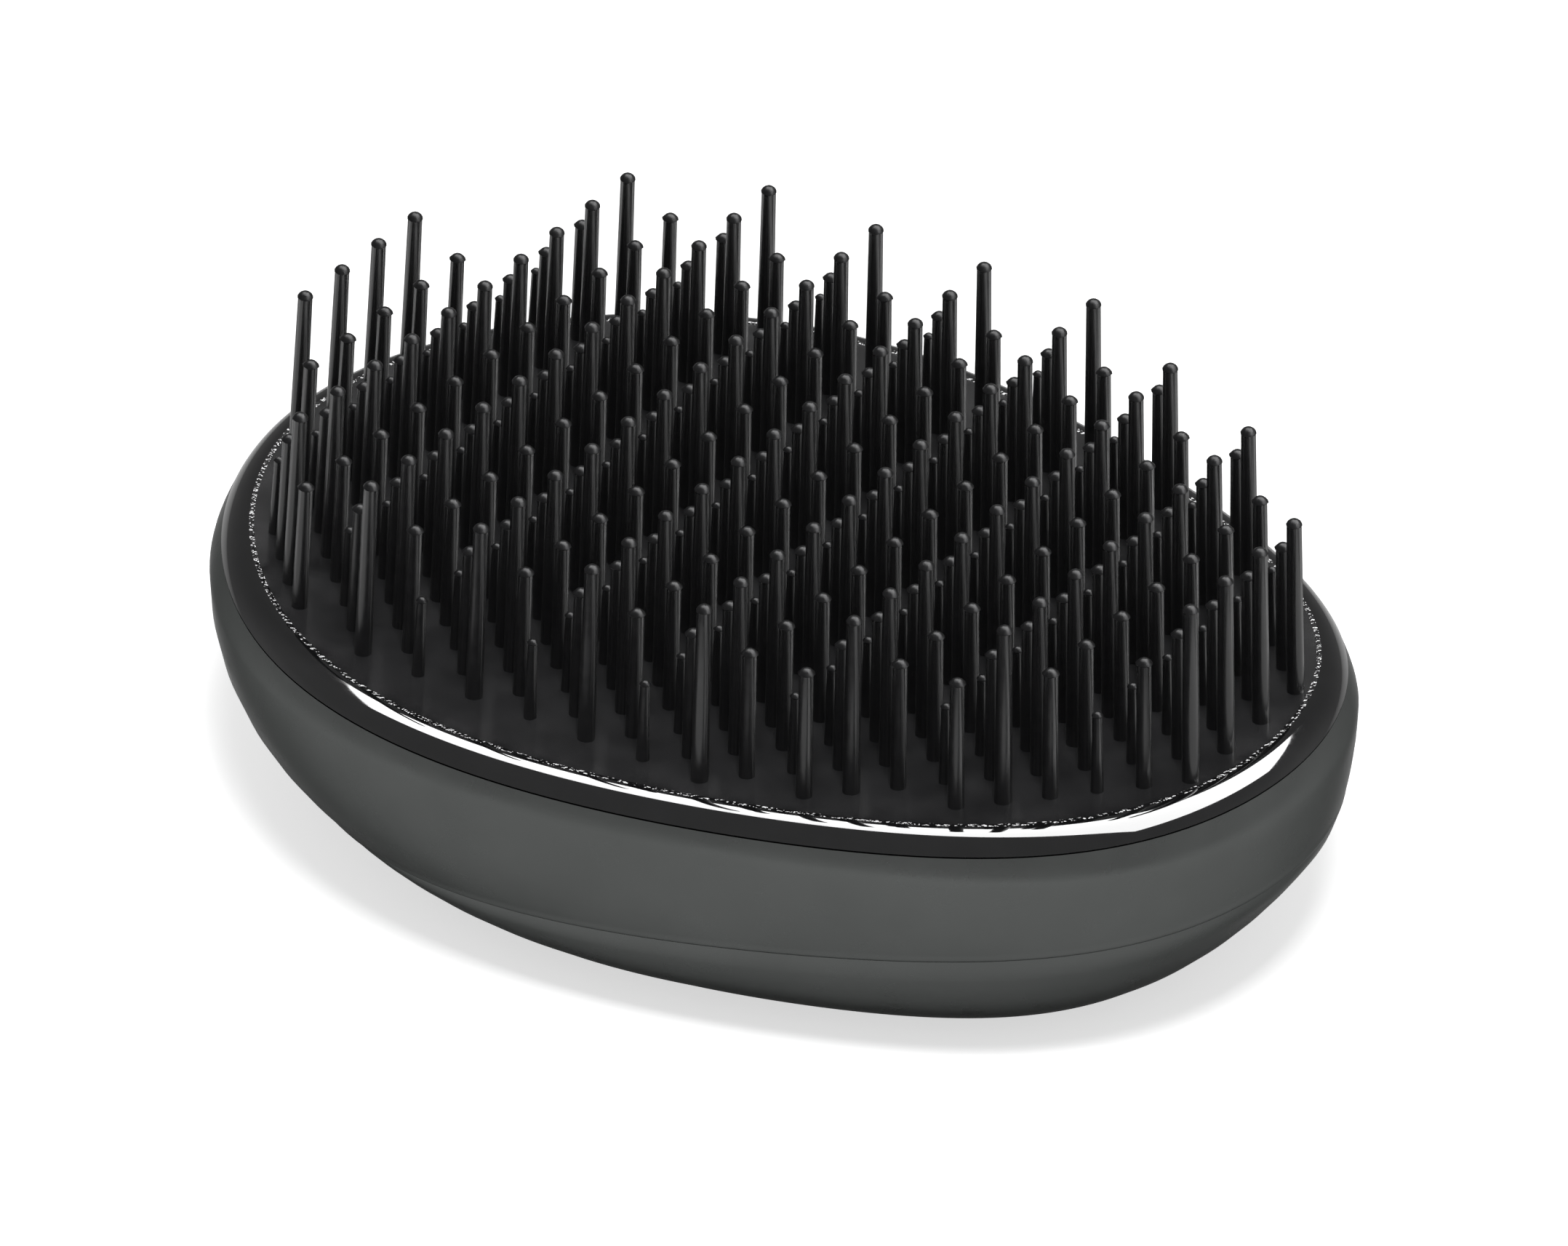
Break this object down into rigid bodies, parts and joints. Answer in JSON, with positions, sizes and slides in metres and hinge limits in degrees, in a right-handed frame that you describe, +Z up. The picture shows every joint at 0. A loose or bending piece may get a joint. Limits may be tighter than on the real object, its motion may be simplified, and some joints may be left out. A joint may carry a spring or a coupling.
{
  "type": "detangling brush",
  "caption": "Egg-shaped palm brush for detangling hair: a hollow back shell under a dished plate of slim domed teeth in long, medium and short rows.",
  "frame": {"origin": "under the middle of the brush, on the surface that its back rests on", "axes": "+Z up out of the teeth, +X along the brush to its narrow nose, +Y across it"},
  "size_m": [0.1034, 0.0796, 0.0428],
  "materials": {
    "back_shell": "dark grey lacquer, high gloss",
    "tooth_plate": "black moulded plastic, polished",
    "teeth": "black moulded plastic, satin gloss"
  },
  "bodies": {
    "root": {"back_shell": "back_shell", "tooth_plate": "tooth_plate", "long_teeth": "teeth", "medium_teeth": "teeth", "short_teeth": "teeth"}
  },
  "joints": []
}
